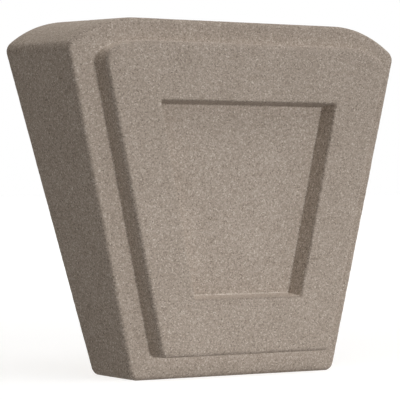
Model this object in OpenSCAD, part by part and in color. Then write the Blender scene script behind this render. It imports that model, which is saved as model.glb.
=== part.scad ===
// Keystone of cast stone: a tapering block with eased shoulders, a raised panel on
// its face and a sunk field in the panel. One casting.
// Millimetres. +Z is up, the worked face looks along -Y, X = 0 is the middle plane.
// The block stands on its underside; the origin is the middle of the bounding box
// carried down to the underside. The back is the plain face that goes to the wall.

/* [Block] */
// Height from the underside to the level top
height = 305; // [250:1:370]
// Width of the face at the underside
foot_width = 212; // [175:1:260]
// Width the two flanks would reach if they ran up to the level top
head_width = 356; // [295:1:430]
// Depth of the flanks at the underside
foot_depth = 62; // [45:0.5:90]
// Depth of the block at the level top, where the back has leaned out to
head_depth = 107.5; // [89:1:150]

/* [Outline corners] */
// Width of the level top between the two shoulder curves
level_width = 209; // [174:1:252]
// Radius of the long curve from the level top down to the shoulder
shoulder_radius = 104; // [86:1:126]
// Radius of the tight turn from the shoulder into the flank
turn_radius = 9.5; // [7:0.5:12]
// Radius of the two corners at the underside
foot_radius = 8; // [4:0.5:11]

/* [Raised panel] */
// Plain border between the flanks and shoulders of the block and the panel
margin = 22; // [16:0.5:27]
// Plain border above and below the panel
level_margin = 19.5; // [15:0.5:26]
// How far the panel stands forward of the block
panel_rise = 19.5; // [12:0.5:26]
// Radius of the tight turn at the panel's shoulders
panel_turn_radius = 12; // [6:0.5:15]
// Radius of the two lower corners of the panel
panel_foot_radius = 6.5; // [3:0.5:10]

/* [Sunk field] */
// Height of the plain rail between the panel's lower edge and the field
bottom_rail = 49; // [38:0.5:60]
// Height of the plain rail between the field and the panel's upper edge
top_rail = 50; // [38:0.5:60]
// Width of the plain stile at either end of the field's lower edge
foot_stile = 44; // [36:0.5:56]
// Width of the plain stile at either end of the field's upper edge
head_stile = 47.5; // [39:0.5:60]
// Depth of the field below the face of the panel
field_depth = 18; // [8:0.5:24]
// Lean of the field's walls away from square
field_draft = 7; // [0:0.5:15]

/* [Hidden] */
// Lean of each flank from the upright
flank_lean = atan((head_width - foot_width) / 2 / height);
// How far the back leans out between the underside and the level top
back_lean_out = head_depth - foot_depth;
back_lean = atan(back_lean_out / height);
// Reach of the panel's face forward of the heel of the back
reach_forward = foot_depth + panel_rise;
// Puts the middle of the bounding box over the origin
middle_y = (reach_forward - back_lean_out) / 2;
// Spare length that lets one solid run clean through another
spare = 10;
// Depth to which the panel is rooted in the block
root = 5;
// What each corner's radius gains, so that its curve crosses the straight runs at its
// ends instead of only touching them
crossing = 0.01;
// Longer than the block in any direction
far = 2 * height;
up = 90;
down = -90;
stone = [0.66, 0.61, 0.56];
$fn = 96;

// ---- outlines -----------------------------------------------------------------
// An outline is drawn face on, in x and y, and is the same on both sides of x = 0.
// Its right half is a list of corners from the top down. Each corner is
// [centre x, centre y, radius, first outward direction, last outward direction].

function heading(angle) = [cos(angle), sin(angle)];
function centre(corner) = [corner[0], corner[1]];

// Half the width of the face at height y, inside an even border along the flanks.
function half_width(y, border) =
    foot_width / 2 + y * tan(flank_lean) - border / cos(flank_lean);

// The point where the straight runs on either side of a corner would meet.
function tip(corner) =
    centre(corner)
    + corner[2] / cos((corner[3] - corner[4]) / 2) * heading((corner[3] + corner[4]) / 2);

// Centre of the tight turn: r inside the flank and R - r from the shoulder's centre.
// The flank passes through [foot_x, 0].
function turn_centre(foot_x, shoulder, R, r) =
    let(
        along = heading(up - flank_lean),
        start = [foot_x - r / cos(flank_lean), 0] - shoulder,
        b = start * along,
        c = start * start - pow(R - r, 2),
        run = -b + sqrt(b * b - c)
    )
    shoulder + start + run * along;

// Outline of the block, or of anything set inside it: one border along the flanks and
// shoulders, and one above and below.
function shouldered(border, level_border, r_turn, r_foot) =
    let(
        R = shoulder_radius - border,
        shoulder = [level_width / 2, height - level_border - R],
        turn = turn_centre(half_width(0, border), shoulder, R, r_turn),
        toward = turn - shoulder,
        meet = atan2(toward[1], toward[0]),
        foot_y = level_border + r_foot
    )
    [
        [shoulder[0], shoulder[1], R, up, meet],
        [turn[0], turn[1], r_turn, meet, -flank_lean],
        [half_width(foot_y, border + r_foot), foot_y, r_foot, -flank_lean, down]
    ];

// What a corner's curve takes from a sharp corner: the wedge it spans, less its disc.
module beyond_curve(corner) {
    r = corner[2];
    wedge = r / cos((corner[3] - corner[4]) / 2) + spare;
    translate(centre(corner))
        difference() {
            polygon([[0, 0], wedge * heading(corner[3]), wedge * heading(corner[4])]);
            circle(r + crossing);
        }
}

// The whole outline as a flat shape.
module outline(corners) {
    tips = [for (corner = corners) tip(corner)];
    top = [0, tips[0][1]];
    bottom = [0, tips[len(tips) - 1][1]];
    for (side = [0, 1])
        mirror([side, 0])
            difference() {
                polygon(concat([top], tips, [bottom]));
                for (corner = corners) beyond_curve(corner);
            }
}

// ---- the parts of the casting, lying face up ------------------------------------
// The block, run back far enough for the leaning back to be cut from it.
module block() {
    translate([0, 0, -back_lean_out - spare])
        linear_extrude(back_lean_out + spare + foot_depth)
            outline(shouldered(0, 0, turn_radius, foot_radius));
}

// The raised panel, rooted a little way into the block.
module panel() {
    translate([0, 0, foot_depth - root])
        linear_extrude(root + panel_rise)
            outline(shouldered(margin, level_margin, panel_turn_radius, panel_foot_radius));
}

// Everything inside one leaning wall of the field. The wall's upper edge lies in
// z = 0, passes through [x, y] and faces the given outward direction.
module inside_wall(x, y, outward) {
    translate([x, y, 0])
        rotate(outward)
            rotate([0, field_draft, 0])
                translate([-far, -far, -far])
                    cube([far, 2 * far, 2 * far]);
}

// What is sunk out of the panel, with plain rails and stiles left all round it.
module field() {
    bottom = level_margin + bottom_rail;
    top = height - level_margin - top_rail;
    foot_x = half_width(bottom, margin) - foot_stile;
    head_x = half_width(top, margin) - head_stile;
    lean = atan((head_x - foot_x) / (top - bottom));
    translate([0, 0, reach_forward])
        intersection() {
            inside_wall(0, top, up);
            inside_wall(0, bottom, down);
            inside_wall(foot_x, bottom, -lean);
            inside_wall(-foot_x, bottom, 180 + lean);
            translate([-far / 2, 0, -field_depth])
                cube([far, height, field_depth + spare]);
        }
}

// Everything behind the leaning back, once the block is stood up.
module behind_the_back() {
    rotate([-back_lean, 0, 0])
        translate([-far / 2, 0, -far / 2])
            cube([far, far, 2 * far]);
}

module keystone() {
    color(stone)
        translate([0, middle_y, 0])
            difference() {
                rotate([90, 0, 0]) {
                    block();
                    panel();
                }
                rotate([90, 0, 0]) field();
                behind_the_back();
            }
}

keystone();
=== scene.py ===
"""Looks of a cast stone keystone: its worked surface, its sandy finish and a plain studio.

Metres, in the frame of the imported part. +Z is up, the worked face looks along -Y, X = 0 is
the middle plane and the block stands on z = 0. The casting is one skin of loops. Every loop
is an outline with the same number of points, so the skin runs from the rim of the leaning
back, round every arris and hollow, down to the floor of the sunk field.
"""

import math

import bmesh
import bpy
import numpy as np
from mathutils import Matrix, Vector


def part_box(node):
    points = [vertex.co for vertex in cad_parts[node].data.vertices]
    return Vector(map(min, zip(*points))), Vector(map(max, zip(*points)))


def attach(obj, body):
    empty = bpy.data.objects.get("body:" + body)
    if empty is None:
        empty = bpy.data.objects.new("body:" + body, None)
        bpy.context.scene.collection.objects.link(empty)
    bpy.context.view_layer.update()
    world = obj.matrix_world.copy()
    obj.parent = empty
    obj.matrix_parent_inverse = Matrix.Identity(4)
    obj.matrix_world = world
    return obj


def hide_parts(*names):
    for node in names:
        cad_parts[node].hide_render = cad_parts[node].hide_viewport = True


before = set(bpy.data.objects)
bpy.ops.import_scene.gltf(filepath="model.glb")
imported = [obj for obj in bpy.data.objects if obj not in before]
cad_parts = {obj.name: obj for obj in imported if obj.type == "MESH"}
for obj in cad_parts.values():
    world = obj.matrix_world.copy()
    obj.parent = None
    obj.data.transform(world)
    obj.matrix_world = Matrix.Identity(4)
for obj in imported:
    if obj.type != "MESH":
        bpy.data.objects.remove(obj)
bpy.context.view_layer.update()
low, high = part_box("keystone")

# ---- sizes of the block ------------------------------------------------------------------
HEIGHT = high.z
FOOT_WIDTH = 0.212
HEAD_WIDTH = 0.356
FOOT_DEPTH = 0.062
LEVEL_WIDTH = 0.209
SHOULDER_RADIUS = 0.104
TURN_RADIUS = 0.0095
FOOT_RADIUS = 0.008

# ---- sizes of the raised panel -----------------------------------------------------------
MARGIN = 0.022
LEVEL_MARGIN = 0.0195
PANEL_RISE = 0.0195
PANEL_TURN_RADIUS = 0.012
PANEL_FOOT_RADIUS = 0.0065

# ---- sizes of the sunk field -------------------------------------------------------------
BOTTOM_RAIL = 0.049
TOP_RAIL = 0.050
FOOT_STILE = 0.044
HEAD_STILE = 0.0475
FIELD_DEPTH = 0.018
FIELD_CORNER_RADIUS = 0.0015
# What is left of that radius down at the foot of the field's leaning walls
LEAST_RADIUS = 0.0005

# ---- moulded edges: what the mould's draft and the ramming leave -------------------------
BLOCK_ARRIS = 0.0036
PANEL_ARRIS = 0.0032
FIELD_ARRIS = 0.0019
PANEL_HOLLOW = 0.0012
FIELD_HOLLOW = 0.0014
BACK_ARRIS = 0.0012
PANEL_DRAFT = math.radians(1)
FIELD_DRAFT = math.radians(7)

# ---- places that follow from them --------------------------------------------------------
FACE_Y = low.y
FRONT_Y = FACE_Y + PANEL_RISE
HEEL_Y = FRONT_Y + FOOT_DEPTH
FLOOR_Y = FACE_Y + FIELD_DEPTH
BACK_SLOPE = (high.y - HEEL_Y) / HEIGHT
FLANK_LEAN = math.atan((HEAD_WIDTH - FOOT_WIDTH) / 2 / HEIGHT)

# ---- how finely the skin is divided ------------------------------------------------------
# Round each loop: the level top, one shoulder's curve, one other corner and one flank
TOP_STEPS = 80
SHOULDER_STEPS = 25
CORNER_STEPS = 8
SIDE_STEPS = 104
# From loop to loop: the flank, the border, the panel's side, its face and the field's wall
DEPTH_STEPS = 40
BORDER_STEPS = 9
RISE_STEPS = 7
RAIL_STEPS = 22
WALL_STEPS = 6
# Round a rounded outer edge and round a hollow
ARRIS_STEPS = 6
HOLLOW_STEPS = 5

# ---- painted light and shade in the stone's colour, in shares of what the field's floor gains - ---
# Painted light on the floor of the sunk field
FLOOR_PAINTED_LIGHT = 1.0
# In the hollow round that floor, painted light: all along, and more at its foot, a painted
# highlight along the ledge, but less at its top, where it turns to painted shade
HOLLOW_PAINTED_LIGHT = 1.0
LEDGE_PAINTED_HIGHLIGHT = 3.0
# Painted light on the level borders above and below the panel, close to its side, where the
# panel's shade falls
BORDER_PAINTED_LIGHT = 2.1
# Painted shade on the rounded edges of the block and the panel, and on the rim of the field,
# dimming their highlights
CREST_PAINTED_SHADE = 1.7
RIM_PAINTED_SHADE = 2.0
# Painted shade on the top wall of the field, which looks down
UNDER_PAINTED_SHADE = 4.0


# ---- outlines ----------------------------------------------------------------------------
def heading(angle):
    """A unit vector in the plane of the face."""
    return np.array([math.cos(angle), math.sin(angle)])


def half_width(z, border):
    """Half the width of the face at height z, inside an even border along the flanks."""
    return FOOT_WIDTH / 2 + z * math.tan(FLANK_LEAN) - border / math.cos(FLANK_LEAN)


def turn_centre(shoulder, radius, border, turn_radius):
    """Centre of the tight turn between the shoulder's curve and the flank."""
    along = heading(math.pi / 2 - FLANK_LEAN)
    start = np.array([half_width(0, border + turn_radius), 0]) - shoulder
    b = start @ along
    c = start @ start - (radius - turn_radius) ** 2
    return shoulder + start + (math.sqrt(b * b - c) - b) * along


def arc(centre, radius, first, last, steps):
    """Points of a curve and its outward directions, the last point left out."""
    angles = first + (last - first) * np.arange(steps) / steps
    outward = np.column_stack([np.cos(angles), np.sin(angles)])
    return centre + radius * outward, outward


def run(start, end, outward, steps):
    """Points of a straight run and its outward direction, the last point left out."""
    share = np.arange(steps)[:, None] / steps
    return start + (end - start) * share, np.tile(outward, (steps, 1))


def closed_loop(parts):
    """The whole outline from the parts of its right half, top middle to bottom middle."""
    points = np.concatenate([part[0] for part in parts])
    outward = np.concatenate([part[1] for part in parts])
    bottom = np.array([[0.0, points[-1, 1]]])
    points = np.concatenate([points, bottom])
    outward = np.concatenate([outward, [[0.0, -1.0]]])
    flip = np.array([-1.0, 1.0])
    left = slice(-2, 0, -1)
    return (
        np.concatenate([points, points[left] * flip]),
        np.concatenate([outward, outward[left] * flip]),
    )


def shouldered(border, level_border, turn_radius, foot_radius):
    """Outline of the block, or of anything set inside it by the two borders."""
    radius = SHOULDER_RADIUS - border
    shoulder = np.array([LEVEL_WIDTH / 2, HEIGHT - level_border - radius])
    turn = turn_centre(shoulder, radius, border, turn_radius)
    meet = math.atan2(*(turn - shoulder)[::-1])
    foot_z = level_border + foot_radius
    foot = np.array([half_width(foot_z, border + foot_radius), foot_z])
    flank = heading(-FLANK_LEAN)
    up, down = math.pi / 2, -math.pi / 2
    top = np.array([0, HEIGHT - level_border])
    return closed_loop([
        run(top, shoulder + radius * heading(up), heading(up), TOP_STEPS // 2),
        arc(shoulder, radius, up, meet, SHOULDER_STEPS),
        arc(turn, turn_radius, meet, -FLANK_LEAN, CORNER_STEPS),
        run(turn + turn_radius * flank, foot + foot_radius * flank, flank, SIDE_STEPS),
        arc(foot, foot_radius, -FLANK_LEAN, down, CORNER_STEPS),
        run(foot + foot_radius * heading(down), np.array([0, level_border]), heading(down),
            TOP_STEPS // 2 + SHOULDER_STEPS),
    ])


def tapered(drawn):
    """Outline of the sunk field, drawn in by an even distance from its edge on the panel.

    It has as many points as the block's outline.
    """
    bottom = LEVEL_MARGIN + BOTTOM_RAIL
    top = HEIGHT - LEVEL_MARGIN - TOP_RAIL
    foot_x = half_width(bottom, MARGIN) - FOOT_STILE
    head_x = half_width(top, MARGIN) - HEAD_STILE
    lean = math.atan((head_x - foot_x) / (top - bottom))
    r = max(FIELD_CORNER_RADIUS - drawn, LEAST_RADIUS)
    up, down = math.pi / 2, -math.pi / 2
    side = heading(-lean)

    def corner(z):
        x = foot_x + (z - bottom) * math.tan(lean) - (r + drawn) / math.cos(lean)
        return np.array([x, z])

    head, foot = corner(top - drawn - r), corner(bottom + drawn + r)
    level = TOP_STEPS // 2 + SHOULDER_STEPS
    return closed_loop([
        run(np.array([0, top - drawn]), head + r * heading(up), heading(up), level),
        arc(head, r, up, -lean, CORNER_STEPS),
        run(head + r * side, foot + r * side, side, SIDE_STEPS),
        arc(foot, r, -lean, down, CORNER_STEPS),
        run(foot + r * heading(down), np.array([0, bottom + drawn]), heading(down), level),
    ])


# ---- the skin ----------------------------------------------------------------------------
class Skin:
    """Loops of points from the back to the floor of the field, and what is kept for each.

    `arris` is 1 on the crest of an outer edge, where the stone wears. The third list holds
    the light and shade painted into the stone's colour: 1 on the floor of the field and below
    0 where it is painted shade. It is one number for a whole loop or one for each of its
    points.
    """

    def __init__(self):
        self.loops = []
        self.arris = []
        self.painted_light = []

    def add(self, loop, arris, painted_light):
        """One loop of points."""
        self.loops.append(loop)
        self.arris.append(arris)
        self.painted_light.append(painted_light)

    def run_to(self, loop, painted_light, steps):
        """Even loops from the last loop towards another, which is left out."""
        first, first_painted_light = self.loops[-1], self.painted_light[-1]
        for step in range(1, steps):
            share = step / steps
            between = first + (loop - first) * share
            self.add(between, 0.0, first_painted_light + (painted_light - first_painted_light) * share)

    def edge(self, bend, steps):
        """A rounded edge or hollow, after an even run of loops up to its first loop."""
        if self.loops:
            loop, _, painted_light = bend[0]
            self.run_to(loop, painted_light, steps)
        for loop, arris, painted_light in bend:
            self.add(loop, arris, painted_light)


def placed(outline, distance, depth):
    """A loop: the outline drawn in by an even distance and set at a depth."""
    points = outline[0] - distance * outline[1]
    return np.column_stack([points[:, 0], np.broadcast_to(depth, len(points)), points[:, 1]])


def back_edge(outline):
    """The back's own edge, struck off with only a small arris."""
    bend = []
    for turn in np.linspace(0, math.pi / 2, ARRIS_STEPS + 1):
        loop = placed(outline, BACK_ARRIS * (1 - math.sin(turn)), 0)
        loop[:, 1] = HEEL_Y + BACK_SLOPE * loop[:, 2] - BACK_ARRIS * (1 - math.cos(turn))
        bend.append((loop, math.sin(2 * turn), 0.0))
    return bend


def outer_edge(outline, radius, depth):
    """A rounded outer edge, from the side of the outline to the flat at a depth."""
    bend = []
    for turn in np.linspace(0, math.pi / 2, ARRIS_STEPS + 1):
        inward = radius * (1 - math.cos(turn))
        back = radius * (1 - math.sin(turn))
        crest = math.sin(2 * turn)
        # Painted shade along the crest, dimming its highlight
        bend.append((placed(outline, inward, depth + back), crest, -CREST_PAINTED_SHADE * crest))
    return bend


def inner_edge(outline, radius, depth):
    """A rounded inner edge, from the flat at a depth forward into a rising side."""
    bend = []
    for turn in np.linspace(0, math.pi / 2, HOLLOW_STEPS + 1):
        outward = radius * (1 - math.sin(turn))
        forward = radius * (1 - math.cos(turn))
        level = np.abs(outline[1][:, 1])
        # Painted light on the level runs of the hollow, against the panel's shade on the
        # borders
        pale = BORDER_PAINTED_LIGHT * level * math.cos(turn)
        bend.append((placed(outline, -outward, depth - forward), 0.0, pale))
    return bend


def field_rim():
    """The rounded rim of the field, from the panel's face over into the leaning wall."""
    bend = []
    for share in np.linspace(0, 1, ARRIS_STEPS + 1):
        turn = (math.pi / 2 - FIELD_DRAFT) * share
        out = FIELD_ARRIS * (math.cos(FIELD_DRAFT) - math.sin(turn))
        outline = tapered(-out)
        loop = placed(outline, 0, FACE_Y + FIELD_ARRIS * (1 - math.cos(turn)))
        crest = math.sin(2 * turn)
        # The rim's painted shade is twice as strong along the sill, whose outline looks down
        sill = 1 + np.maximum(-outline[1][:, 1], 0)
        rim_shade = -RIM_PAINTED_SHADE * crest * sill
        # Towards the wall, the painted shade of the field's top wall
        bend.append((loop, crest, rim_shade + painted_under_shade(outline) * share))
    return bend


def field_foot():
    """The hollow at the foot of the field's walls, from the leaning wall into the floor."""
    rim_depth = FIELD_ARRIS * (1 - math.sin(FIELD_DRAFT))
    wall_depth = FIELD_DEPTH - FIELD_HOLLOW - rim_depth
    bend = []
    for share in np.linspace(0, 1, HOLLOW_STEPS + 1):
        turn = FIELD_DRAFT + (math.pi / 2 - FIELD_DRAFT) * share
        inward = math.tan(FIELD_DRAFT) * wall_depth
        inward += FIELD_HOLLOW * (math.cos(FIELD_DRAFT) - math.cos(turn))
        outline = tapered(inward)
        loop = placed(outline, 0, FLOOR_Y - FIELD_HOLLOW * (1 - math.sin(turn)))
        # Painted light on the floor and round the hollow, a painted highlight along the ledge
        # at the foot, and painted shade on the top wall
        pale = FLOOR_PAINTED_LIGHT * share
        pale += math.sin(2 * turn) * (HOLLOW_PAINTED_LIGHT - LEDGE_PAINTED_HIGHLIGHT * outline[1][:, 1])
        bend.append((loop, 0.0, pale + painted_under_shade(outline) * (1 - share)))
    return bend


def painted_under_shade(outline):
    """Painted shade on the field's top wall, which looks down, one number for each point of
    the outline.
    """
    return -UNDER_PAINTED_SHADE * np.maximum(outline[1][:, 1], 0)


def casting_skin():
    """Every loop of the casting, from the rim of the back to the rim of the field's floor."""
    block = shouldered(0, 0, TURN_RADIUS, FOOT_RADIUS)
    panel = shouldered(MARGIN, LEVEL_MARGIN, PANEL_TURN_RADIUS, PANEL_FOOT_RADIUS)
    draft = math.tan(PANEL_DRAFT) * (PANEL_RISE - PANEL_HOLLOW - PANEL_ARRIS)
    drafted = panel[0] - draft * panel[1], panel[1]
    skin = Skin()
    skin.edge(back_edge(block), 0)
    skin.edge(outer_edge(block, BLOCK_ARRIS, FRONT_Y), DEPTH_STEPS)
    skin.edge(inner_edge(panel, PANEL_HOLLOW, FRONT_Y), BORDER_STEPS)
    skin.edge(outer_edge(drafted, PANEL_ARRIS, FACE_Y), RISE_STEPS)
    skin.edge(field_rim(), RAIL_STEPS)
    skin.edge(field_foot(), WALL_STEPS)
    return skin


def four_sides(loop):
    """A loop cut at the middle of its corners into top, right, bottom and left runs."""
    half = CORNER_STEPS // 2
    level = TOP_STEPS // 2 + SHOULDER_STEPS + half
    side = SIDE_STEPS + CORNER_STEPS
    turned = np.roll(loop, level, axis=0)
    width = 2 * level
    top = turned[:width + 1]
    right = turned[width:width + side + 1]
    bottom = turned[width + side:2 * width + side + 1][::-1]
    left = np.concatenate([turned[2 * width + side:], turned[:1]])[::-1]
    return top, right, bottom, left


def stretched(loop):
    """The even sheet of points that spans a loop, its own points at the rim."""
    top, right, bottom, left = four_sides(loop)
    u = np.linspace(0, 1, len(top))[None, :, None]
    v = np.linspace(0, 1, len(left))[:, None, None]
    rows = (1 - v) * top[None] + v * bottom[None]
    columns = (1 - u) * left[:, None] + u * right[:, None]
    corners = (
        (1 - u) * (1 - v) * top[0] + u * (1 - v) * top[-1]
        + (1 - u) * v * bottom[0] + u * v * bottom[-1]
    )
    return rows + columns - corners


def add_loops(mesh, skin):
    """The skin's loops as rings of quads. Returns the corners of the first and last ring."""
    arris_layer = mesh.verts.layers.float["arris"]
    painted_light_layer = mesh.verts.layers.float["painted_light"]
    rings = []
    for loop, arris, painted_light in zip(skin.loops, skin.arris, skin.painted_light):
        ring = [mesh.verts.new(point) for point in loop]
        # Each point keeps the light and shade painted into the stone's colour
        for vert, pale in zip(ring, np.broadcast_to(painted_light, len(ring))):
            vert[arris_layer] = arris
            vert[painted_light_layer] = pale
        rings.append(ring)
    count = len(rings[0])
    for outer, inner in zip(rings, rings[1:]):
        for i in range(count):
            j = (i + 1) % count
            mesh.faces.new((outer[i], outer[j], inner[j], inner[i]))
    return rings[0], rings[-1]


def add_sheet(mesh, ring, loop, painted_light):
    """Closes a ring with a sheet of quads that shares the ring's own corners."""
    painted_light_layer = mesh.verts.layers.float["painted_light"]
    sheet = stretched(loop)
    rows, columns = sheet.shape[:2]
    index = np.arange(len(loop))
    top, right, bottom, left = four_sides(index)
    grid = [[None] * columns for _ in range(rows)]
    for i in range(columns):
        grid[0][i] = ring[top[i]]
        grid[-1][i] = ring[bottom[i]]
    for j in range(rows):
        grid[j][0] = ring[left[j]]
        grid[j][-1] = ring[right[j]]
    # The sheet's own points keep one value of painted light, which the material reads
    for j in range(1, rows - 1):
        for i in range(1, columns - 1):
            grid[j][i] = mesh.verts.new(sheet[j, i])
            grid[j][i][painted_light_layer] = painted_light
    for j in range(rows - 1):
        for i in range(columns - 1):
            mesh.faces.new((grid[j][i], grid[j + 1][i], grid[j + 1][i + 1], grid[j][i + 1]))


def mark_sideways(mesh):
    """Keeps for each point how far the surface there looks to one side, from 0 to 1."""
    mesh.normal_update()
    sideways_layer = mesh.verts.layers.float["sideways"]
    for vert in mesh.verts:
        vert[sideways_layer] = abs(vert.normal.x)


def casting_mesh():
    """The closed mesh of the casting before its surface is worked."""
    skin = casting_skin()
    mesh = bmesh.new()
    # The second kept number is the light and shade painted into the stone's colour
    for name in ("arris", "painted_light", "sideways"):
        mesh.verts.layers.float.new(name)
    back, floor = add_loops(mesh, skin)
    add_sheet(mesh, back, skin.loops[0], 0.0)
    add_sheet(mesh, floor, skin.loops[-1], FLOOR_PAINTED_LIGHT)
    bmesh.ops.recalc_face_normals(mesh, faces=mesh.faces)
    mark_sideways(mesh)
    data = bpy.data.meshes.new("keystone_casting")
    mesh.to_mesh(data)
    mesh.free()
    return data


# ---- worked surface ----------------------------------------------------------------------
# Each kind of relief has a depth, a size and the band of its noise that is put to use.
# The shifts of the seed keep the three patterns apart.
WAVE_DEPTH = 0.0001
WAVE_SIZE = 0.030
WAVE_BAND = (0.3, 0.7)
WAVE_SHIFT = 0.0
WAVE_DETAIL = 1.0
PIT_DEPTH = 0.00005
PIT_SIZE = 0.0035
PIT_BAND = (0.42, 0.75)
PIT_SHIFT = 7.0
PIT_DETAIL = 2.0
WEAR_DEPTH = 0.0004
WEAR_SIZE = 0.0045
WEAR_BAND = (0.4, 0.8)
WEAR_SHIFT = 19.0
WEAR_DETAIL = 2.0
SURFACE_SEED = 3.0


def joined(tree, source, target):
    """Links one socket to another."""
    tree.links.new(source, target)


def math_node(tree, operation, first, second):
    """A Math node. Each input is a number or a socket."""
    node = tree.nodes.new("ShaderNodeMath")
    node.operation = operation
    for socket, value in zip(node.inputs, (first, second)):
        if isinstance(value, bpy.types.NodeSocket):
            joined(tree, value, socket)
        else:
            socket.default_value = value
    return node.outputs[0]


def spread(tree, value, start, end, low_end=0.0, high_end=1.0):
    """A Map Range node from start..end to low_end..high_end, held at both ends."""
    node = tree.nodes.new("ShaderNodeMapRange")
    joined(tree, value, node.inputs["Value"])
    node.inputs["From Min"].default_value = start
    node.inputs["From Max"].default_value = end
    node.inputs["To Min"].default_value = low_end
    node.inputs["To Max"].default_value = high_end
    return node.outputs["Result"]


def tree_noise(tree, place, size, seed, shift, detail):
    """Noise whose lumps are about `size` across; size and seed are sockets."""
    noise = tree.nodes.new("ShaderNodeTexNoise")
    noise.noise_dimensions = "4D"
    joined(tree, place, noise.inputs["Vector"])
    joined(tree, math_node(tree, "DIVIDE", 1.0, size), noise.inputs["Scale"])
    joined(tree, math_node(tree, "ADD", seed, shift), noise.inputs["W"])
    noise.inputs["Detail"].default_value = detail
    return noise.outputs[0]


def surface_inputs(tree):
    """What the tree is given: the mesh, the sizes of its relief, a seed and the stone."""
    face = tree.interface
    face.new_socket("Geometry", in_out="INPUT", socket_type="NodeSocketGeometry")
    for kind in ("Wave", "Pit", "Wear"):
        face.new_socket(kind + " Depth", in_out="INPUT", socket_type="NodeSocketFloat")
        face.new_socket(kind + " Size", in_out="INPUT", socket_type="NodeSocketFloat")
    face.new_socket("Seed", in_out="INPUT", socket_type="NodeSocketFloat")
    face.new_socket("Stone", in_out="INPUT", socket_type="NodeSocketMaterial")
    face.new_socket("Geometry", in_out="OUTPUT", socket_type="NodeSocketGeometry")
    return tree.nodes.new("NodeGroupInput").outputs


def relief(tree, given, kind, band, shift, detail):
    """Depth of one kind of relief at each point, from nothing to the kind's own depth."""
    place = tree.nodes.new("GeometryNodeInputPosition").outputs[0]
    noise = tree_noise(tree, place, given[kind + " Size"], given["Seed"], shift, detail)
    return math_node(tree, "MULTIPLY", spread(tree, noise, *band), given[kind + " Depth"])


def worked_surface_tree():
    """Geometry nodes that work the stone: long waves, pits and worn arrises, all inward."""
    tree = bpy.data.node_groups.new("Worked stone surface", "GeometryNodeTree")
    given = surface_inputs(tree)
    nodes = tree.nodes
    normal = nodes.new("GeometryNodeInputNormal").outputs[0]
    arris = nodes.new("GeometryNodeInputNamedAttribute")
    arris.data_type = "FLOAT"
    arris.inputs["Name"].default_value = "arris"

    wave = relief(tree, given, "Wave", WAVE_BAND, WAVE_SHIFT, WAVE_DETAIL)
    pits = relief(tree, given, "Pit", PIT_BAND, PIT_SHIFT, PIT_DETAIL)
    wear = relief(tree, given, "Wear", WEAR_BAND, WEAR_SHIFT, WEAR_DETAIL)
    wear = math_node(tree, "MULTIPLY", wear, arris.outputs[0])
    depth = math_node(tree, "ADD", math_node(tree, "ADD", wave, pits), wear)

    inward = nodes.new("ShaderNodeVectorMath")
    inward.operation = "SCALE"
    joined(tree, normal, inward.inputs[0])
    joined(tree, math_node(tree, "MULTIPLY", depth, -1.0), inward.inputs["Scale"])

    moved = nodes.new("GeometryNodeSetPosition")
    joined(tree, given["Geometry"], moved.inputs["Geometry"])
    joined(tree, inward.outputs[0], moved.inputs["Offset"])
    smooth = nodes.new("GeometryNodeSetShadeSmooth")
    joined(tree, moved.outputs[0], smooth.inputs["Geometry"])
    real = nodes.new("GeometryNodeRealizeInstances")
    joined(tree, smooth.outputs[0], real.inputs[0])
    finish = nodes.new("GeometryNodeSetMaterial")
    joined(tree, real.outputs[0], finish.inputs["Geometry"])
    joined(tree, given["Stone"], finish.inputs["Material"])
    joined(tree, finish.outputs[0], nodes.new("NodeGroupOutput").inputs[0])
    return tree


def worked(data, stone):
    """The casting with its surface worked, as one plain mesh."""
    tree = worked_surface_tree()
    rough = bpy.data.objects.new("keystone_rough", data)
    bpy.context.scene.collection.objects.link(rough)
    work = rough.modifiers.new("Worked surface", "NODES")
    work.node_group = tree
    values = {
        "Wave Depth": WAVE_DEPTH,
        "Wave Size": WAVE_SIZE,
        "Pit Depth": PIT_DEPTH,
        "Pit Size": PIT_SIZE,
        "Wear Depth": WEAR_DEPTH,
        "Wear Size": WEAR_SIZE,
        "Seed": SURFACE_SEED,
        "Stone": stone,
    }
    for item in tree.interface.items_tree:
        if item.in_out == "INPUT" and item.name in values:
            work[item.identifier] = values[item.name]
    graph = bpy.context.evaluated_depsgraph_get()
    finished = bpy.data.meshes.new_from_object(rough.evaluated_get(graph))
    bpy.data.objects.remove(rough)
    piece = bpy.data.objects.new("keystone_stone", finished)
    bpy.context.scene.collection.objects.link(piece)
    return piece


# ---- the stone ---------------------------------------------------------------------------
DARK_GRAIN = (0.130, 0.100, 0.075, 1.0)
STONE_COLOUR = (0.323, 0.270, 0.224, 1.0)
PALE_GRAIN = (0.610, 0.535, 0.470, 1.0)
STONE_ROUGHNESS = 0.92
STONE_SPECULAR = 0.3
SAND_SIZE = 0.0009
GRIT_SIZE = 0.0019
# Share of a grain's size at which it has fallen away to the bed between the grains
GRAIN_REACH = 0.8
BUMP_STRENGTH = 0.32
BUMP_DEPTH = 0.0003
# How far each of these moves the stone from its middle shade towards the dark or the pale
SAND_CONTRAST = 0.160
GRIT_CONTRAST = 0.09
CLOUD_CONTRAST = 0.03
# Painted light and shade, as the mesh keeps it
PAINTED_LIGHT_CONTRAST = 0.045
SPARKLE = 0.15
FLECK = 0.17
# The few sand grains, by their shade, that sparkle and that are dark flecks
SPARKLE_BAND = (0.95, 0.98)
FLECK_BAND = (0.05, 0.02)
CLOUD_SIZE = 0.035
CLOUD_DETAIL = 3.0
CLOUD_BAND = (0.3, 0.7)
MIDDLE_SHADE = 0.5
# How much stronger the grain is painted where the stone looks to one side, standing in for
# how the light there brings it out
FLANK_GRAIN = 1.25


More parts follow.
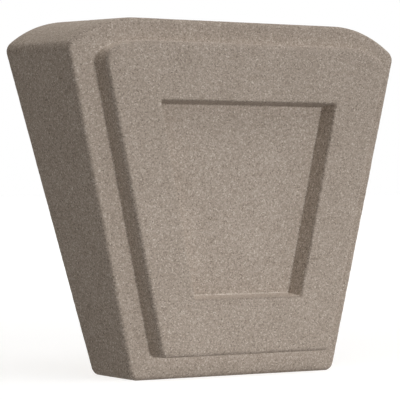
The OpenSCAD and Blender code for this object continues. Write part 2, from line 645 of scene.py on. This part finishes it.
def grain_group():
    """Grains packed edge to edge, each with a shade of its own between 0 and 1."""
    group = bpy.data.node_groups.new("Packed grain", "ShaderNodeTree")
    face = group.interface
    face.new_socket("Vector", in_out="INPUT", socket_type="NodeSocketVector")
    face.new_socket("Grain Size", in_out="INPUT", socket_type="NodeSocketFloat")
    face.new_socket("Shade", in_out="OUTPUT", socket_type="NodeSocketFloat")
    face.new_socket("Height", in_out="OUTPUT", socket_type="NodeSocketFloat")
    nodes = group.nodes
    given = nodes.new("NodeGroupInput").outputs
    given_out = nodes.new("NodeGroupOutput").inputs
    cells = nodes.new("ShaderNodeTexVoronoi")
    cells.feature = "F1"
    joined(group, given["Vector"], cells.inputs["Vector"])
    joined(group, math_node(group, "DIVIDE", 1.0, given["Grain Size"]), cells.inputs["Scale"])
    shade = nodes.new("ShaderNodeSeparateColor")
    joined(group, cells.outputs["Color"], shade.inputs[0])
    joined(group, shade.outputs[0], given_out["Shade"])
    height = spread(group, cells.outputs["Distance"], 0.0, GRAIN_REACH, 1.0, 0.0)
    joined(group, height, given_out["Height"])
    return group


def grains(tree, grain, place, size):
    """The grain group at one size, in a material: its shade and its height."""
    node = tree.nodes.new("ShaderNodeGroup")
    node.node_tree = grain
    joined(tree, place, node.inputs["Vector"])
    node.inputs["Grain Size"].default_value = size
    return node.outputs


def kept(tree, name):
    """A number that the mesh keeps for each of its points, read in a material."""
    node = tree.nodes.new("ShaderNodeAttribute")
    node.attribute_name = name
    return node.outputs["Fac"]


def cloudy(tree, place):
    """Slow clouds of paler and darker stone."""
    noise = tree.nodes.new("ShaderNodeTexNoise")
    joined(tree, place, noise.inputs["Vector"])
    noise.inputs["Scale"].default_value = 1 / CLOUD_SIZE
    noise.inputs["Detail"].default_value = CLOUD_DETAIL
    return spread(tree, noise.outputs[0], *CLOUD_BAND, -CLOUD_CONTRAST, CLOUD_CONTRAST)


def stone_tone(tree, place, sand, grit):
    """How far the stone is from its middle shade, dark below 0 and pale above."""
    tone = spread(tree, sand["Shade"], 0.0, 1.0, -SAND_CONTRAST, SAND_CONTRAST)
    gritty = spread(tree, grit["Height"], 0.0, 1.0, -GRIT_CONTRAST, GRIT_CONTRAST)
    tone = math_node(tree, "ADD", tone, gritty)
    sparkles = spread(tree, sand["Shade"], *SPARKLE_BAND, 0.0, SPARKLE)
    tone = math_node(tree, "ADD", tone, sparkles)
    flecks = spread(tree, sand["Shade"], *FLECK_BAND, 0.0, FLECK)
    tone = math_node(tree, "SUBTRACT", tone, flecks)
    # Painted light: the grain's contrast is raised on faces that look sideways
    stronger = spread(tree, kept(tree, "sideways"), 0.0, 1.0, 1.0, FLANK_GRAIN)
    tone = math_node(tree, "MULTIPLY", tone, stronger)
    tone = math_node(tree, "ADD", tone, cloudy(tree, place))
    # Light and shade painted into the colour, from the mesh
    painted_lighting = math_node(tree, "MULTIPLY", kept(tree, "painted_light"), PAINTED_LIGHT_CONTRAST)
    return math_node(tree, "ADD", tone, painted_lighting)


def stone_material():
    """Fine sandy cast stone: packed grains over slow clouds, with light and shade painted in
    from the mesh.
    """
    stone = bpy.data.materials.new("Sandy cast stone")
    stone.use_nodes = True
    tree = stone.node_tree
    nodes = tree.nodes
    shader = nodes["Principled BSDF"]
    place = nodes.new("ShaderNodeTexCoord").outputs["Object"]
    grain = grain_group()
    sand = grains(tree, grain, place, SAND_SIZE)
    grit = grains(tree, grain, place, GRIT_SIZE)

    shades = nodes.new("ShaderNodeValToRGB")
    ramp = shades.color_ramp.elements
    ramp[0].color = DARK_GRAIN
    ramp[1].color = PALE_GRAIN
    ramp.new(MIDDLE_SHADE).color = STONE_COLOUR
    tone = stone_tone(tree, place, sand, grit)
    joined(tree, math_node(tree, "ADD", tone, MIDDLE_SHADE), shades.inputs[0])
    joined(tree, shades.outputs[0], shader.inputs["Base Color"])

    bump = nodes.new("ShaderNodeBump")
    bump.inputs["Strength"].default_value = BUMP_STRENGTH
    bump.inputs["Distance"].default_value = BUMP_DEPTH
    height = math_node(tree, "ADD", sand["Height"], grit["Height"])
    joined(tree, height, bump.inputs["Height"])
    joined(tree, bump.outputs[0], shader.inputs["Normal"])
    shader.inputs["Roughness"].default_value = STONE_ROUGHNESS
    shader.inputs["Specular IOR Level"].default_value = STONE_SPECULAR
    return stone


# ---- studio ------------------------------------------------------------------------------
FLOOR_SPREAD = 6.0
# The floor as the stone is lit by it, which is duller than the floor as it is seen
FLOOR_COLOUR = (0.49, 0.49, 0.49, 1.0)
WHITE = (1.0, 1.0, 1.0, 1.0)
# The seen floor glows, more far from the block than near it, so that it is white all over
# and still keeps the block's shadow
NEAR_GLOW = 1.30
FAR_GLOW = 1.75
NEAR = 0.35
FAR = 1.2
SHADOW_SHARE = 0.7
AMBIENT = 0.08
# Each direction points from the block to its lamp
KEY_DIRECTION = Vector((0.28, -0.44, 0.46))
KEY_STRENGTH = 1.49
FRONT_DIRECTION = Vector((0, -1, 0))
FRONT_STRENGTH = 0.55
SKY_DIRECTION = Vector((0, 0, 1))
SKY_STRENGTH = 0.50
NOON_DIRECTION = Vector((0, -0.3, 1))
NOON_STRENGTH = 0.37
NOON_SOFTNESS = math.radians(45)
RIGHT_DIRECTION = Vector((1, 0.1, 0))
RIGHT_STRENGTH = 1.6
BACK_DIRECTION = Vector((0.45, 1, 0))
BACK_STRENGTH = 1.1
SIDE_DIRECTION = Vector((-0.35, 0.85, 0.4))
SIDE_COLOUR = (1.0, 0.88, 0.71)
SIDE_STRENGTH = 0.58
SOFTNESS = math.radians(20)
FAR_OFF = 0.8
OVERHEAD_DIRECTION = Vector((0, -0.45, 1))
OVERHEAD_DISTANCE = 0.8
OVERHEAD_SIZE = 0.8
OVERHEAD_POWER = 1.4
CARD_GAP = 0.25
CARD_SHIFT = 0.3
CARD_WIDTH = 1.5
CARD_HEIGHT = 0.06
CARD_POWER = 0.56


def seen_directly(tree):
    """1 where a surface is seen by the eye, in a gloss or through glass, else 0."""
    path = tree.nodes.new("ShaderNodeLightPath").outputs
    seen = math_node(tree, "ADD", path["Is Camera Ray"], path["Is Glossy Ray"])
    seen = math_node(tree, "ADD", seen, path["Is Transmission Ray"])
    return math_node(tree, "MINIMUM", seen, 1.0)


def floor_paper():
    """Paper that looks white, keeps a soft shadow and throws little light back."""
    paper = bpy.data.materials.new("White floor")
    paper.use_nodes = True
    tree = paper.node_tree
    tree.nodes.clear()
    matte = tree.nodes.new("ShaderNodeBsdfDiffuse")
    matte.inputs["Color"].default_value = FLOOR_COLOUR
    bright = tree.nodes.new("ShaderNodeBsdfDiffuse")
    bright.inputs["Color"].default_value = WHITE
    glow = tree.nodes.new("ShaderNodeEmission")
    away = tree.nodes.new("ShaderNodeVectorMath")
    away.operation = "LENGTH"
    joined(tree, tree.nodes.new("ShaderNodeTexCoord").outputs["Object"], away.inputs[0])
    rising = spread(tree, away.outputs["Value"], NEAR, FAR, NEAR_GLOW, FAR_GLOW)
    joined(tree, rising, glow.inputs["Strength"])
    shown = tree.nodes.new("ShaderNodeMixShader")
    shown.inputs[0].default_value = SHADOW_SHARE
    joined(tree, glow.outputs[0], shown.inputs[1])
    joined(tree, bright.outputs[0], shown.inputs[2])
    choice = tree.nodes.new("ShaderNodeMixShader")
    joined(tree, seen_directly(tree), choice.inputs[0])
    joined(tree, matte.outputs[0], choice.inputs[1])
    joined(tree, shown.outputs[0], choice.inputs[2])
    out = tree.nodes.new("ShaderNodeOutputMaterial")
    joined(tree, choice.outputs[0], out.inputs[0])
    return paper


def white_floor():
    """The plain floor that the block stands on."""
    data = bpy.data.meshes.new("floor")
    mesh = bmesh.new()
    bmesh.ops.create_grid(mesh, x_segments=1, y_segments=1, size=FLOOR_SPREAD)
    mesh.to_mesh(data)
    mesh.free()
    data.materials.append(floor_paper())
    floor = bpy.data.objects.new("floor", data)
    bpy.context.scene.collection.objects.link(floor)


def pale_world():
    """Even light from all round, and plain white wherever the world itself is seen."""
    world = bpy.data.worlds.new("Pale world")
    bpy.context.scene.world = world
    world.use_nodes = True
    tree = world.node_tree
    light = tree.nodes["Background"]
    light.inputs["Color"].default_value = WHITE
    light.inputs["Strength"].default_value = AMBIENT
    shown = tree.nodes.new("ShaderNodeBackground")
    shown.inputs["Color"].default_value = WHITE
    choice = tree.nodes.new("ShaderNodeMixShader")
    joined(tree, seen_directly(tree), choice.inputs[0])
    joined(tree, light.outputs[0], choice.inputs[1])
    joined(tree, shown.outputs[0], choice.inputs[2])
    joined(tree, choice.outputs[0], tree.nodes["World Output"].inputs[0])


def lamp(name, kind, direction, distance):
    """A lamp of the given kind and direction that shines on the middle of the block."""
    data = bpy.data.lights.new(name, kind)
    light = bpy.data.objects.new(name, data)
    bpy.context.scene.collection.objects.link(light)
    light.location = (low + high) / 2 + direction.normalized() * distance
    light.rotation_euler = direction.to_track_quat("Z", "Y").to_euler()
    return light


def even_lamp(name, direction, strength, colour=(1.0, 1.0, 1.0)):
    """A sun that lights all that faces it, and throws no shadow."""
    sun = lamp(name, "SUN", direction, FAR_OFF).data
    sun.energy = strength
    sun.angle = SOFTNESS
    sun.color = colour
    sun.use_shadow = False


def noon_sun():
    """A wide, weak sun that throws the block's soft shadow on the floor."""
    noon = lamp("Noon", "SUN", NOON_DIRECTION, FAR_OFF).data
    noon.energy = NOON_STRENGTH
    noon.angle = NOON_SOFTNESS


def overhead_disk():
    """A soft disk over the front of the block, which shades what lies under the edges."""
    overhead = lamp("Overhead", "AREA", OVERHEAD_DIRECTION, OVERHEAD_DISTANCE).data
    overhead.shape = "DISK"
    overhead.size = OVERHEAD_SIZE
    overhead.energy = OVERHEAD_POWER


def low_card():
    """A long low card that lifts the foot of the face, most of it to the left."""
    light = lamp("Card", "AREA", FRONT_DIRECTION, CARD_GAP - FACE_Y)
    light.location.x = -CARD_SHIFT
    light.location.z = CARD_HEIGHT / 2
    light.visible_camera = False
    card = light.data
    card.shape = "RECTANGLE"
    card.size = CARD_WIDTH
    card.size_y = CARD_HEIGHT
    card.energy = CARD_POWER
    card.use_shadow = False


def studio_lights():
    """A key up to the right, even fills all round, and three soft lamps for the shading."""
    even_lamp("Key", KEY_DIRECTION, KEY_STRENGTH)
    even_lamp("Front fill", FRONT_DIRECTION, FRONT_STRENGTH)
    even_lamp("Sky fill", SKY_DIRECTION, SKY_STRENGTH)
    even_lamp("Side fill", SIDE_DIRECTION, SIDE_STRENGTH, SIDE_COLOUR)
    noon_sun()
    even_lamp("Right fill", RIGHT_DIRECTION, RIGHT_STRENGTH)
    even_lamp("Back fill", BACK_DIRECTION, BACK_STRENGTH)
    overhead_disk()
    low_card()


# ---- camera ------------------------------------------------------------------------------
MILLIMETRES = 1000
SENSOR = 0.036
LENS = 0.2151
CAMERA_TURN = math.radians(34.44)
CAMERA_DIP = math.radians(1.29)
CAMERA_ROLL = math.radians(0.57)
CAMERA_DISTANCE = 2.0698
# A point in the block's middle plane, and how far to the right of it and above it the
# middle of the view lies
AIM = Vector((0.0, -0.03225, 0.150))
AIM_RIGHT = -0.0254
AIM_UP = 0.0014


def studio_camera():
    """A long lens, level with the block and well to the left of its face."""
    ahead = Vector((
        math.sin(CAMERA_TURN) * math.cos(CAMERA_DIP),
        math.cos(CAMERA_TURN) * math.cos(CAMERA_DIP),
        -math.sin(CAMERA_DIP),
    ))
    level = Vector((math.cos(CAMERA_TURN), -math.sin(CAMERA_TURN), 0.0))
    rise = level.cross(ahead)
    right = math.cos(CAMERA_ROLL) * level + math.sin(CAMERA_ROLL) * rise
    up = math.cos(CAMERA_ROLL) * rise - math.sin(CAMERA_ROLL) * level
    data = bpy.data.cameras.new("Camera")
    data.sensor_width = SENSOR * MILLIMETRES
    data.lens = LENS * MILLIMETRES
    camera = bpy.data.objects.new("Camera", data)
    bpy.context.scene.collection.objects.link(camera)
    place = AIM + AIM_RIGHT * right + AIM_UP * up - CAMERA_DISTANCE * ahead
    turn = Matrix((right, up, -ahead)).transposed()
    camera.matrix_world = Matrix.Translation(place) @ turn.to_4x4()
    bpy.context.scene.camera = camera


studio_camera()
pale_world()
white_floor()
studio_lights()

stone = stone_material()
keystone = worked(casting_mesh(), stone)
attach(keystone, "root")
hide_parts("keystone")

bpy.context.scene.view_settings.view_transform = "Standard"
